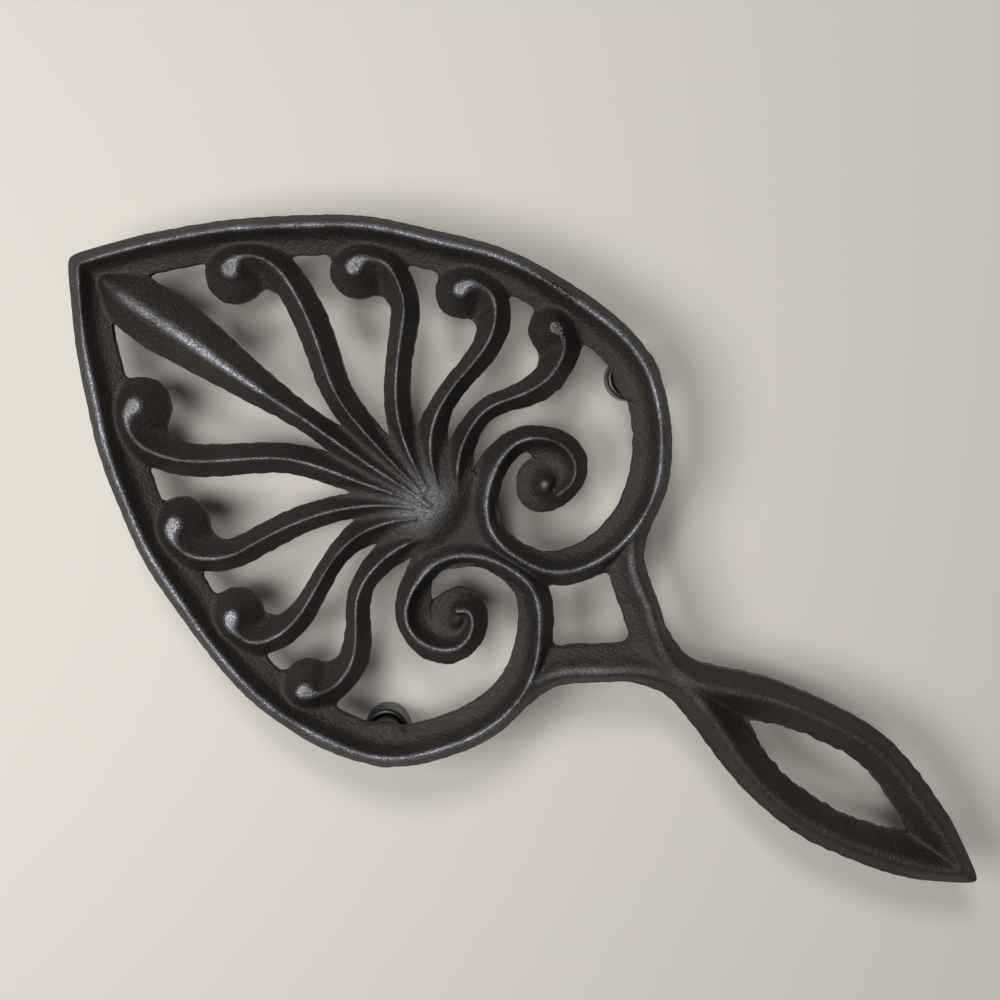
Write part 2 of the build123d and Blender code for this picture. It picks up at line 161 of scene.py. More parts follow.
def spline(places, start=None, end=None):
    """Close points on a cubic spline: its slopes are solved so that the bend runs on through each place.

    start and end are headings in degrees from the axis; an end with no heading is left straight.
    """
    places = np.array(places, float)
    chords = np.hypot(*np.diff(places, axis=0).T)
    knots = np.concatenate(([0], np.cumsum(chords)))
    inner = np.arange(1, len(places) - 1)
    matrix = np.diag(np.full(len(places), 2.0))
    climb = np.diff(places, axis=0) / chords[:, None]
    target = 3 * np.concatenate((climb[:1], np.zeros((len(inner), 2)), climb[-1:]))
    matrix[0, 1] = matrix[-1, -2] = 1
    before, after = chords[:-1], chords[1:]
    matrix[inner, inner - 1] = after / (before + after)
    matrix[inner, inner + 1] = before / (before + after)
    weights = (matrix[inner, inner - 1][:, None], matrix[inner, inner + 1][:, None])
    target[1:-1] = 3 * (weights[0] * climb[:-1] + weights[1] * climb[1:])
    for row, heading in ((0, start), (-1, end)):
        if heading is not None:
            matrix[row] = 0
            matrix[row, row] = 1
            target[row] = direction(heading)
    slopes = np.linalg.solve(matrix, target)
    along = np.linspace(0, knots[-1], int(knots[-1] / STEP) * 2)
    span = np.clip(np.searchsorted(knots, along, side="right") - 1, 0, len(chords) - 1)
    chord = chords[span][:, None]
    t = (along - knots[span])[:, None] / chord
    return ((1 + 2 * t) * (1 - t) ** 2 * places[span] + t * t * (3 - 2 * t) * places[span + 1]
            + t * (1 - t) ** 2 * chord * slopes[span] - t * t * (1 - t) * chord * slopes[span + 1])


# %% Undo the perspective of the picture
def pull_back(places, side=0):
    """Plan places of a crest that the picture shows: high things look further from the lens than they are.

    The line of sight to the crest meets half the casting's height further out, so a place is pulled towards
    the spot under the lens. With no side, places are means of both halves, and the lens stands on the axis.
    """
    under_lens = np.array((CAMERA_PLACE[0], CAMERA_PLACE[1] * side))
    return under_lens + (np.array(places, float) - under_lens) * (1 - CREST / 2 / CAMERA_RISE)


# %% Look from places to a line
BLOCK = 20000   # places that are compared with a line at once


def follow(line, spots):
    """Nearest point of a line for each spot: its number, the offset to its right, and the way past an end.

    The nearest point has the smallest |point|^2 - 2 point . spot.
    """
    near = np.empty(len(spots), int)
    size = (line.spots ** 2).sum(1)
    for first in range(0, len(spots), BLOCK):
        part = slice(first, first + BLOCK)
        near[part] = np.argmin(size - 2 * spots[part] @ line.spots.T, axis=1)
    toward = spots - line.spots[near]
    forth = (toward * line.ways[near]).sum(1)
    aside = toward[:, 0] * line.ways[near, 1] - toward[:, 1] * line.ways[near, 0]
    past = np.where(near == 0, -forth, np.where(near == len(line.spots) - 1, forth, 0))
    return near, aside, np.maximum(past, 0)


# %% [markdown]
# ## The plan as a grid
# Sand casting rounds every inner corner, so the members must melt into each other. On a grid over the
# plan each member gives two fields: its height, and its cover, which is how far a place lies inside the
# member's edge. A soft maximum of the heights fills the corners with fillets, and a soft maximum of the
# covers rounds the crotches of the openings. A pattern carved by hand is never quite even, so the places
# are first shifted a little by slow waves, and the edges by quick ones.

# %% Lay the grid and let it waver
GRID = 0.3         # millimetres
MARGIN = 1.2       # grid beyond the outline
NOTHING = -9.0     # height and cover where there is no member

stations = np.arange(-MARGIN, END + MARGIN, GRID)
offsets = np.arange(-WIDEST - MARGIN, WIDEST + MARGIN, GRID)
STATION, OFFSET = np.meshgrid(stations, offsets, indexing="ij")


def waver(size, wavelength, seed):
    """Smooth unevenness over the plan: waves of about one length in many directions, added up."""
    draw = np.random.default_rng(seed)
    total = np.zeros(STATION.shape)
    count = 14
    for turn, phase, stretch in draw.uniform((0, 0, 0.7), (math.tau, math.tau, 1.5), (count, 3)):
        way = STATION * math.cos(turn) + OFFSET * math.sin(turn)
        total += np.sin(way * math.tau / (wavelength * stretch) + phase)
    return total * size * math.sqrt(2 / count)


BOW = (0.6, 202.0, 24.0)   # the handle stands this far off the axis, most at this station, over this length
bow = BOW[0] * np.exp(-((STATION - BOW[1]) / BOW[2]) ** 2)
PLAN = np.stack((STATION + waver(0.16, 22, 1), OFFSET - bow + waver(0.16, 22, 2)), -1)
height = np.full(STATION.shape, NOTHING)
cover = np.full(STATION.shape, NOTHING)
print("grid", STATION.shape)

# %% Grow members onto the casting
EDGE = 2.6           # height of a rib's edge
STEEP = 3.0          # fall of a member's height beyond its own edge
SKIRT = 0.5          # which starts this far outside it
FILLET = 0.9         # millimetres of height over which two members melt together
CROTCH = 1.3         # the same for their covers


def soft_max(one, two, blend):
    """The larger of two fields, rounded where they are closer than the blend."""
    return np.maximum(one, two) + np.maximum(blend - np.abs(one - two), 0) ** 2 / (4 * blend)


def window(side, spots, reach):
    """Grid places on one side of the axis within reach of the box round some spots."""
    lowest, highest = np.min(spots, axis=0) - reach, np.max(spots, axis=0) + reach
    inside = (PLAN[..., 0] > lowest[0]) & (PLAN[..., 0] < highest[0])
    return inside & (PLAN[..., 1] * side > lowest[1]) & (PLAN[..., 1] * side < highest[1])


def join(where, new_height, new_cover, fillet=FILLET, crotch=CROTCH):
    """Grow one member onto the casting, with its height falling away beyond its own edge."""
    falling = new_height - STEEP * np.maximum(-new_cover - SKIRT, 0)
    height[where] = soft_max(height[where], falling, fillet)
    cover[where] = soft_max(cover[where], new_cover, crotch)


# %% [markdown]
# ## Rim, lobes and scrolls
# The rim is a strap with a bead along its outer edge and a sunken flange inside. It leaves the tip, goes
# round the lobe and winds up in the scroll, so one line with changing widths draws all of it. The section
# is a bell for the bead standing on a flange that falls a little towards its inner edge. Swept along the
# line it would cut into itself where the scroll closes; as a height over the plan it can't. The two scrolls
# were carved by hand and differ: the left one fades out round a button, the right one ends in a hook.

# %% Section of a strap
BEAD_BASE = 1.6      # height that the bell of the bead falls towards, outside
AXIS_OVERLAP = 0.45  # how far a strap reaches over the axis into its twin
END_CAP = 0.4        # how far a strap reaches beyond the end of its line
FLANGE_END = 1.2     # the flange's slope goes on to this share of its width


class Strap(NamedTuple):
    """A strap's section at each point of its line: widths either side of the crest, and heights."""

    outside: np.ndarray
    inside: np.ndarray
    crest: np.ndarray
    wall: np.ndarray     # height of the outer edge
    foot: np.ndarray     # flange height under the bead
    edge: np.ndarray     # flange height at its inner edge
    bead: np.ndarray     # half-width of the bead, inwards
    power: np.ndarray    # of the bell: 2 is round, more is flatter on top, less is sharper


def spread(line, **widths):
    """A strap whose measures change evenly along its line, each given as share, value, share, value..."""
    shares = line.runs / line.runs[-1]
    return Strap(**{name: np.interp(shares, values[::2], values[1::2]) for name, values in widths.items()})


def grow_strap(side, line, strap, **blends):
    """Height = flange + (crest - flange) * exp(-|aside / bead| ^ power), with another bell outside."""
    where = window(side, line.spots, max(strap.inside.max(), strap.outside.max()) + MARGIN)
    near, aside, past = follow(line, PLAN[where] * (1, side))
    here = Strap(*(measure[near] for measure in strap))
    flange = here.foot + (here.edge - here.foot) * np.clip(aside / here.inside, 0, FLANGE_END)
    fall = np.log((here.crest - BEAD_BASE) / (here.wall - BEAD_BASE)) ** (1 / here.power)
    low = np.where(aside > 0, flange, BEAD_BASE)
    width = np.where(aside > 0, here.bead, here.outside / fall)
    bell = np.exp(-np.abs(aside / width) ** here.power)
    own_side = PLAN[where][:, 1] * side + AXIS_OVERLAP
    from_end = np.minimum(line.runs, line.runs[-1] - line.runs)[near] + END_CAP - past
    across = np.minimum(aside + here.outside, here.inside - aside)
    reach = np.minimum(across, np.minimum(own_side, from_end))
    join(where, low + (here.crest - low) * bell, reach, **blends)


# %% Rim and scroll
RIM_HEADING = 52.0                  # degrees from the axis at the tip
RIM_START = 2.7                     # the beads meet this far from the tip
LEAD = 5.0                          # the line starts this far over the axis, so that the beads mitre
RIM_OUTSIDE = 2.8                   # from the crest of the bead to the outline
RIM_WAY = ((30.4, 28.3), (47.2, 40.0), (64.4, 48.0), (98.0, WIDEST - RIM_OUTSIDE), (116.0, 50.7),
           (129.2, 39.0), (134.4, 21.3), (133.4, 15.4), (130.5, 9.4), (126.6, 4.7), (122.8, 2.3),
           (118.4, 1.6))
SCROLL_WAYS = {                     # for each side of the axis
    1: ((110.1, 3.1), (104.4, 8.7), (102.5, 15.5), (103.4, 21.6), (107.0, 25.7), (111.9, 26.9),
        (116.2, 24.9), (117.9, 21.2), (117.2, 18.2)),
    -1: ((110.3, 3.3), (103.8, 9.1), (102.3, 16.0), (104.2, 21.9), (107.6, 24.7), (111.5, 25.3),
         (115.3, 24.1), (118.0, 21.4), (118.4, 18.6), (117.5, 16.3), (115.3, 14.9), (113.8, 15.6)),
}
SLIT_ENDS = {1: 0.915, -1: 0.868}   # share of the line where the scroll grows together with its eye
SCROLL_OUTSIDES = {                 # share of the line and width outside the crest, in turn
    1: (0.845, 3.6, 0.865, 4.6, 0.886, 4.0, 0.91, 3.2, 0.932, 2.9, 0.95, 3.3, 0.968, 3.3, 1, 2.4),
    -1: (0.845, 4.0, 0.858, 4.6, 0.875, 3.4, 0.899, 2.7, 0.917, 2.7, 0.935, 3.7, 0.95, 3.9, 0.965, 3.4,
         1, 2.2),
}
SCROLL_ENDS = {1: 6.8, -1: 7.4}     # height of the crest where the scroll ends

rim_start = np.array((RIM_START, 0))
rim_lead = rim_start - LEAD * direction(RIM_HEADING)
for side, scroll_way in SCROLL_WAYS.items():
    scroll_way = pull_back(scroll_way, side)
    rim_line = trace(spline([rim_lead, rim_start, *RIM_WAY, *scroll_way], RIM_HEADING))
    slit_end = SLIT_ENDS[side]
    rim_strap = spread(
        rim_line,
        outside=(0, 3.1, 0.04, 3.1, 0.1, RIM_OUTSIDE, 0.66, RIM_OUTSIDE, 0.72, 3.4, 0.76, 3.4, 0.8, 2.9,
                 *SCROLL_OUTSIDES[side]),
        inside=(0, 5.6, 0.62, 5.7, 0.7, 5.2, 0.75, 4.1, 0.8, 3.0, 0.85, 2.4, slit_end, 2.6,
                slit_end + 0.015, 4.3, 1, 4.3),
        crest=(0, CREST - 0.1, 0.94, CREST - 0.1, 1, SCROLL_ENDS[side]),
        wall=(0, 4.2, 0.6, 4.0, 0.7, 3.4, 1, 3.2),
        foot=(0, 5.0, 0.6, 5.0, 0.76, 4.6, 1, 4.4),
        edge=(0, 2.3, 0.7, 2.3, 0.8, 2.9, 1, 2.9),
        bead=(0, 1.5, 0.6, 1.5, 0.72, 1.2, 1, 1.2),
        power=(0, 2.0, 0.6, 2.0, 0.72, 1.8, 1, 1.6),
    )
    grow_strap(side, rim_line, rim_strap)
    print(f"rim and scroll: {rim_line.runs[-1]:.0f} mm of strap")

# %% [markdown]
# ## Eyes of the scrolls
# Each scroll winds up round a dished disc with a button on it. Its height depends only on the distance
# from the middle: a dish that falls to the edge, and a bell for the button. A turned disc would meet the
# scroll in a seam, while one more pair of fields melts into it.

# %% Dished eyes
EYES = {                # shift from the frame's eye, radius, and the button's height and radius
    1: ((-1.0, -0.3), 6.1, 7.2, 2.0),
    -1: ((0.1, -0.9), 6.4, 6.2, 1.4),
}
EYE_DISH = 4.7          # height in the middle of the dish
EYE_EDGE = 2.0
DISH_POWER = 1.4
BUTTON_POWER = 2.4

for side, (shift, radius, button, button_radius) in EYES.items():
    eye = EYE + shift
    where = window(side, [eye], radius + MARGIN)
    distance = np.hypot(*(PLAN[where] * (1, side) - eye).T)
    dish = EYE_DISH - (EYE_DISH - EYE_EDGE) * (distance / radius) ** DISH_POWER
    bell = np.exp(-(distance / button_radius) ** BUTTON_POWER)
    join(where, dish + (button - dish) * bell, radius - distance, fillet=1.4, crotch=2.4)
print("eyes:", len(EYES))

# %% [markdown]
# ## Bud and fronds
# The ribs of the palmette are roofs: two flanks that meet in a crest. A square root rounds the crest,
# sharply on the fronds and broadly on the bud. Each frond's crest goes on round a curl, like the head of
# a fern, and sinks into a dome whose peak lies off its middle. Pots have worn the peaks to flat facets.
# Roofs swept as meshes would cross where the ribs meet at the hub; fields just keep the higher one.

# %% Roof-shaped ribs
FROND = 7.8          # height of the crests where they leave the hub
RIB_FILLET = 1.8     # ribs run softly into the rim and into each other
HUB = 96.5           # station where all ribs meet
SHARP = 0.7          # rounding of the crotches between ribs near the hub
OUTER_CROTCH = ((32, 48), 2.0)     # distances from the hub over which it grows, and to what
SCROLL_CROTCH = ((97, 101), 2.2)   # the same for stations, towards the scrolls


def rib_crotch(spots):
    """Rounding of the crotches at some spots: it grows away from the hub, and behind it."""
    from_hub = np.hypot(spots[:, 0] - HUB, spots[:, 1])
    outwards = np.interp(from_hub, OUTER_CROTCH[0], (SHARP, OUTER_CROTCH[1]))
    return np.maximum(outwards, np.interp(spots[:, 0], SCROLL_CROTCH[0], (SHARP, SCROLL_CROTCH[1])))


def rib_fields(line, spots, half_widths, crests, rounding):
    """Height = crest - fall * (sqrt(aside^2 + rounding^2) - rounding), down to the edge at the half-width.

    half_widths, crests and rounding change evenly along the line, as share, value, share, value...
    """
    shares = line.runs / line.runs[-1]
    near, aside, past = follow(line, spots)
    half, crest, soft = (np.interp(shares, v[::2], v[1::2])[near] for v in (half_widths, crests, rounding))
    away = np.hypot(aside, past)
    drop = (np.hypot(away, soft) - soft) / (np.hypot(half, soft) - soft)
    return crest - (crest - EDGE) * drop, half - away


# %% Fronds with their curls
class Frond(NamedTuple):
    """Crest line from the hub round the curl, half-widths along it, and the disc under the curl."""

    way: tuple
    half_widths: tuple
    knob: tuple
    radius: float
    start: float = 7.2   # height of the crest at the hub


FRONDS = (
    Frond(((92, 1.3), (81, 3.7), (70, 6.6), (62, 10.2), (54, 16.0), (46, 21.3), (40, 23.7), (35.3, 24.0),
           (31.9, 22.5), (30.0, 19.8), (30.0, 17.6)),
          (0, 2.4, 0.2, 3.1, 0.5, 3.5, 0.75, 3.7, 1, 3.7), (31.4, 17.2), 6.1),
    Frond(((92.6, 2.6), (85, 6.9), (77.9, 12.9), (72.6, 20.4), (68.5, 27.9), (65.2, 33.4), (61.4, 36.6),
           (57.5, 38.0), (54.0, 37.0), (52.0, 34.8), (51.9, 33.6)),
          (0, 2.4, 0.2, 3.0, 0.5, 3.0, 0.8, 3.4, 1, 3.5), (53.4, 33.5), 5.6),
    Frond(((94.4, 4.2), (89.4, 9.0), (85.6, 15.8), (84.7, 24.5), (85.5, 34.0), (84.0, 41.6), (80.6, 45.4),
           (77.2, 45.8), (74.8, 44.6), (74.0, 43.0)),
          (0, 2.4, 0.2, 3.6, 0.35, 2.6, 0.5, 2.5, 0.75, 3.2, 1, 3.3), (74.5, 42.8), 5.4),
    Frond(((99.6, 5.0), (97.0, 8.0), (94.6, 12.0), (93.0, 17.6), (93.5, 24.6), (97.0, 30.2), (100.6, 36.6),
           (100.8, 43.0), (98.6, 46.8), (95.6, 47.8)),
          (0, 2.2, 0.17, 3.2, 0.35, 2.6, 0.55, 2.7, 0.7, 3.5, 0.85, 3.5, 1, 3.1), (95.6, 47.0), 5.2, 5.2),
)
KNOB_POWER = 1.3     # 1 is a cone, 2 a round dome
FACET = 0.6          # how far the worn peaks once stood above the rest


def knob_fields(frond, peak, spots):
    """Dome with its peak off its middle: it falls with a power of the share of the way from peak to edge.

    That share is the smaller root of |peak - middle + (spot - peak) / share| = radius.
    """
    lean = peak - frond.knob
    away = spots - peak
    length = np.maximum((away ** 2).sum(1), 1e-6)
    across = (away * lean).sum(1)
    share = length / (-across + np.sqrt(across ** 2 + length * (frond.radius ** 2 - (lean ** 2).sum())))
    dome = CREST + FACET - (CREST + FACET - EDGE) * share ** KNOB_POWER
    return dome, frond.radius - np.hypot(*(spots - frond.knob).T)


KNOB_FILLET = 3.4    # how softly frond and dome run together, in height and in plan
KNOB_CROTCH = 6.0
FROND_CRESTS = (0.12, FROND, 0.55, CREST - 0.2, 0.78, CREST - 0.2, 0.9, CREST - 0.6, 1, CREST + FACET)
FROND_ROUNDING = (0, 0.14, 0.7, 0.2, 1, 0.8)
LEAN = {1: (0.0, 0.0), -1: (-0.4, 1.1)}   # the curls of one side lie further out
LEAN_POWER = 1.5                          # and their fronds lean more and more on the way there

for side in (1, -1):
    for frond in FRONDS:
        share = np.linspace(0, 1, len(frond.way))[:, None] ** LEAN_POWER
        frond = frond._replace(way=frond.way + share * LEAN[side], knob=np.add(frond.knob, LEAN[side]))
        line = trace(spline(pull_back(frond.way)))
        where = window(side, line.spots, frond.radius + KNOB_CROTCH)
        spots = PLAN[where] * (1, side)
        crests = (0, frond.start, *FROND_CRESTS)
        rib, rib_cover = rib_fields(line, spots, frond.half_widths, crests, FROND_ROUNDING)
        knob, knob_cover = knob_fields(frond, line.spots[-1], spots)
        frond_height = soft_max(rib, knob, KNOB_FILLET)
        frond_cover = soft_max(rib_cover, knob_cover, KNOB_CROTCH)
        join(where, frond_height, frond_cover, RIB_FILLET, rib_crotch(spots))
print("fronds:", len(FRONDS), "on each side")

# %% Bud on the axis
BUD_WIDTHS = ((9.6, 2.2), (12.5, 4.8), (16.6, 6.3), (25, 7.0), (36, 5.9), (46, 4.4), (56, 3.2),
              (64, 2.8), (70, 3.1), (95, 3.6))   # station and half-width
BUD_CRESTS = (0, 6.0, 0.05, 7.4, 0.12, CREST - 0.1, 0.5, CREST - 0.1, 0.6, FROND, 1, FROND)
BUD_ROUNDING = (0, 1.8, 0.3, 1.9, 0.5, 0.6, 0.65, 0.3, 1, 0.3)
BUD_WINDOW = 9.0     # a little more than the widest half-width

bud_stations, bud_halves = np.array(BUD_WIDTHS).T
bud_shares = (bud_stations - bud_stations[0]) / (bud_stations[-1] - bud_stations[0])
bud_widths = np.stack((bud_shares, bud_halves), -1).ravel()
line = trace(np.stack((bud_stations, np.zeros(len(bud_stations))), -1))
where = window(1, line.spots, BUD_WINDOW)
spots = PLAN[where]
join(where, *rib_fields(line, spots, bud_widths, BUD_CRESTS, BUD_ROUNDING), RIB_FILLET, rib_crotch(spots))
print(f"bud: {line.runs[-1]:.0f} mm with its stem")

# %% [markdown]
# ## Hub
# All the crests run together into a hump between the scrolls, round towards the palmette and steeper
# towards the handle. It only adds height, so the openings keep their shape. A low oval patch closes the
# plan between the ribs and the scrolls.

# %% Hump in the middle of the palmette
HUB_HEIGHT = 7.4
HUB_REACHES = (1.9, 0.5)           # how far the hump stretches towards the palmette and towards the handle
HUB_FALL = 0.02                    # millimetres down, for each square millimetre of distance
HUB_WINDOW = 38.0                  # beyond this distance it lies below everything else
HUB_FILLET = 1.2
PATCH = (98.0, 10.7, 1.26, 4.6)    # middle of the oval, its half-width, how many times longer, its height

where = window(1, [(HUB, 0)], HUB_WINDOW)
station, offset = PLAN[where].T
stretch = np.where(station < HUB, *HUB_REACHES)
hump = HUB_HEIGHT - HUB_FALL * (((station - HUB) / stretch) ** 2 + offset ** 2)
height[where] = soft_max(height[where], hump, HUB_FILLET)
oval = PATCH[1] - np.hypot((station - PATCH[0]) / PATCH[2], offset)
join(where, np.full(oval.shape, PATCH[3]), oval, HUB_FILLET)
print(f"hub: {hump.max():.1f} mm high")

# %% [markdown]
# ## Yoke and handle
# On each side one strap leaves the lobe, comes close to its twin in the neck and bows out again as a rail
# of the handle. It is broad: beyond the bead the flange slopes all the way down to the opening, and the
# outer wall leans too. The loop's opening is a lens, cut out of the cover with a soft minimum, and its
# edge is the roughest on the casting.

# %% Arms
ARM_WAY = ((135.4, 20.4), (138.3, 15.6), (146.3, 9.1), (154.5, 3.1), (161.5, 0.9), (172.4, 3.9),
           (180.2, 7.0), (190.0, 9.7), (202.0, 10.7), (214.0, 9.0), (225.0, 5.5))
ARM_STOP = 4.4               # the crests meet this far from the end
ARM_HEADING = -31.0          # and at this heading, in degrees
ARM_CROTCH = 3.0

arm_end = np.array((END - ARM_STOP, 0))
arm_lead = arm_end + LEAD * direction(ARM_HEADING)
arm_line = trace(spline([*pull_back(ARM_WAY), arm_end, arm_lead], end=ARM_HEADING))
arm_strap = spread(
    arm_line,
    outside=(0, 3.2, 0.07, 3.2, 0.18, 2.8, 0.25, 3.9, 0.34, 4.2, 0.42, 3.9, 0.5, 3.5, 0.6, 3.6, 0.7, 3.8,
             0.8, 4.1, 0.9, 3.9, 1, 3.6),
    inside=(0, 3.2, 0.045, 5.0, 0.2, 5.3, 0.3, 9.0, 1, 9.0),
    crest=(0, 7.0, 0.05, CREST - 0.4, 0.2, CREST - 0.6, 0.36, 7.2, 1, 7.2),
    wall=(0, 3.4, 0.1, 3.0, 1, 3.0),
    foot=(0, 5.2, 0.06, 7.1, 0.25, 7.1, 0.4, 6.7, 1, 6.7),
    edge=(0, 3.6, 0.06, 4.8, 0.25, 4.8, 0.4, -1.4, 1, -1.4),
    bead=(0, 1.8, 0.25, 1.8, 0.4, 2.0, 1, 2.0),
    power=(0, 2.4, 0.25, 2.4, 0.4, 2.0, 1, 2.0),
)
for side in (1, -1):
    grow_strap(side, arm_line, arm_strap, crotch=ARM_CROTCH)
print(f"arms: {arm_line.runs[-1]:.0f} mm each")

# %% Opening of the loop
LOOP = (179.6, 221.6, 5.8)   # both ends of the opening and its half-width
LOOP_WINDOW = 8.0            # beyond the ends by this much, the arcs of the lens no longer count
LOOP_ROUNDING = 0.6

loop_middle = (LOOP[0] + LOOP[1]) / 2
half_length = (LOOP[1] - LOOP[0]) / 2
loop_radius = (half_length ** 2 + LOOP[2] ** 2) / (2 * LOOP[2])
from_middle = np.abs(PLAN[..., 0] - loop_middle)
from_centre = np.abs(PLAN[..., 1]) + loop_radius - LOOP[2]
beyond_loop = np.hypot(from_middle, from_centre) - loop_radius
beyond_loop = np.where(from_middle < half_length + LOOP_WINDOW, beyond_loop, -NOTHING)
cover = -soft_max(-cover, -beyond_loop - waver(0.1, 4.5, 5) - waver(0.06, 2.2, 7), LOOP_ROUNDING)
print(f"loop: {2 * half_length:.0f} mm long, {2 * LOOP[2]:.1f} mm wide, arcs of {loop_radius:.0f} mm")

# %% [markdown]
# ## Bosses, corners and limits
# A small boss under each lobe carries a leg. Both pointed ends of the real casting are rounded off, and
# nothing on it stands higher than the rim's crest. Cutting a finished mesh there would leave hard edges,
# so the fields are cut with soft minimums before there is any surface.

# %% Bosses over the feet
BOSS_RADIUS = 4.7
BOSS_HEIGHT = 3.1
for side, name in ((1, "left"), (-1, "right")):
    foot = np.abs(FEET[name])
    where = window(side, [foot], BOSS_RADIUS + MARGIN)
    distance = np.hypot(*(PLAN[where] * (1, side) - foot).T)
    join(where, np.full(distance.shape, BOSS_HEIGHT), BOSS_RADIUS - distance)
    print(f"boss at {foot.round(1)}")

# %% Finish the fields
TIP_CORNER = (0.1, 49.6, 1.4)    # distance from the end of the frame, heading of both edges, rounding
END_CORNER = (0.2, 29.7, 1.2)
TIP_WALL = (3.8, 1.45)           # height of the wall at the corner, and how steeply the top rises there
END_WALL = (3.0, 1.5)
WALL_ROUNDING = 0.8
LOWEST = 1.5                     # the casting is nowhere thinner
CREST_ROUNDING = 0.4             # where the crests are worn to one height


def corner(distance, inset, heading, rounding):
    """How far a place lies inside a rounded corner: a hyperbola whose two edges leave at a heading."""
    angle = math.radians(heading)
    edges = np.hypot(OFFSET, rounding) - rounding
    return (distance - inset) * math.sin(angle) - edges * math.cos(angle)


tip = corner(STATION, *TIP_CORNER)
end = corner(END - STATION, *END_CORNER)
for inset, (wall, climb) in ((tip, TIP_WALL), (end, END_WALL)):
    height = -soft_max(-height, -(wall + climb * np.maximum(inset, 0)), WALL_ROUNDING)
cover = cover + waver(0.05, 3, 3) + waver(0.025, 1.4, 4)
for limit, blend in ((tip, 0.3), (end, 0.3), (WIDEST - np.abs(OFFSET), 0.2)):
    cover = -soft_max(-cover, -limit, blend)
height = np.maximum(height + waver(0.04, 6, 6), LOWEST)
height = -soft_max(-height, np.full(height.shape, -CREST), CREST_ROUNDING)
covered = (cover > 0).sum() * GRID ** 2 / 100
print(f"covered {covered:.0f} cm2 of the plan, top {height.max():.2f} mm")

# %% [markdown]
# ## From fields to a closed surface
# The outline of the openings is where the cover reaches a level. A plane pushed up by the height would
# leave ragged openings, so the grid is cut there. Going round the corners of every grid cell and picking
# the corners inside the outline and the crossings on the cell's sides gives the piece of the cell that
# belongs to the casting, so all cells are cut at once. The casting's walls are rows of points below the
# outline, a little further out with each row, as the draft of a sand mould needs, and the back is the same
# plan again, turned over.

# %% Cut the grid at the outline
DRAFT = 0.12       # how far the foot of a wall stands out
LEAST_CUT = 0.1    # share of a grid step that the outline keeps from the grid's places

level = cover - DRAFT
level = np.where(np.abs(level) < LEAST_CUT * GRID, np.copysign(LEAST_CUT * GRID, level), level)
inside = level > 0
numbers = np.full(level.shape, -1)
numbers[inside] = np.arange(inside.sum())
fields = np.stack((STATION, OFFSET, height), -1)
spot_list = [fields[inside]]
crossing_numbers = []
for axis in (0, 1):
    first = np.take(level, range(level.shape[axis] - 1), axis)
    second = np.take(level, range(1, level.shape[axis]), axis)
    one = np.take(fields, range(level.shape[axis] - 1), axis)
    two = np.take(fields, range(1, level.shape[axis]), axis)
    crossed = (first > 0) != (second > 0)
    share = (first[crossed] / (first[crossed] - second[crossed]))[:, None]
    ids = np.full(crossed.shape, -1)
    ids[crossed] = sum(len(spots) for spots in spot_list) + np.arange(crossed.sum())
    spot_list.append(one[crossed] + (two[crossed] - one[crossed]) * share)
    crossing_numbers.append(ids)
top = np.concatenate(spot_list)
inner_count = len(spot_list[0])
along_u, along_v = crossing_numbers
walk = np.stack((numbers[:-1, :-1], along_u[:, :-1], numbers[1:, :-1], along_v[1:, :],
                 numbers[1:, 1:], along_u[:, 1:], numbers[:-1, 1:], along_v[:-1, :]), -1).reshape(-1, 8)
walk = walk[(walk >= 0).sum(1) > 2]
print("cells", len(walk), "points on the outline", len(top) - inner_count)

# %% Rows of points for the walls and the back
WALL_ROWS = ((0.3, 0.12), (0.7, 0.5), (0.95, 0.88), (0.9, 1.0))   # shares of the draft and of the height
LEAST_SLOPE = 0.3    # of the cover, where its direction is taken for the way out


def grid_cell(spots):
    """Row and column of the grid place nearest to each spot, for looking up fields there."""
    cells = ((spots[:, :2] - (stations[0], offsets[0])) / GRID).round().astype(int)
    return tuple(np.clip(cells, 0, np.array(STATION.shape) - 1).T)


slope = np.stack(np.gradient(cover, GRID), -1)
rim_spots = top[inner_count:]
outward = -slope[grid_cell(rim_spots)]
outward /= np.maximum(np.hypot(*outward.T), LEAST_SLOPE)[:, None]
rows = []
for out, down in WALL_ROWS:
    rows.append(np.column_stack((rim_spots[:, :2] + outward * out * DRAFT, rim_spots[:, 2] * (1 - down))))
back = np.column_stack((top[:inner_count, :2], np.zeros(inner_count)))
points = np.concatenate([top, *rows, back])
count = len(rim_spots)
row_numbers = [np.arange(count) + inner_count + count * row for row in range(len(rows) + 1)]
under = np.concatenate((np.arange(inner_count) + len(points) - inner_count, row_numbers[-1]))
print("points", len(points), "in the top, the back and", len(rows), "rows of walls")

# %% Faces of the walls
starts, ends = [], []
for place in (1, 3, 5, 7):
    leaves = (walk[:, place] >= 0) & (walk[:, (place + 1) % 8] < 0)
    options = [walk[leaves, (place + step) % 8] for step in (2, 4, 6)]
    starts.append(walk[leaves, place])
    ends.append(np.where(options[0] >= 0, options[0], np.where(options[1] >= 0, options[1], options[2])))
starts = np.concatenate(starts) - inner_count
ends = np.concatenate(ends) - inner_count
walls = [np.stack((upper[ends], upper[starts], lower[starts], lower[ends]), -1)
         for upper, lower in zip(row_numbers, row_numbers[1:])]
print("wall faces", sum(len(wall) for wall in walls))


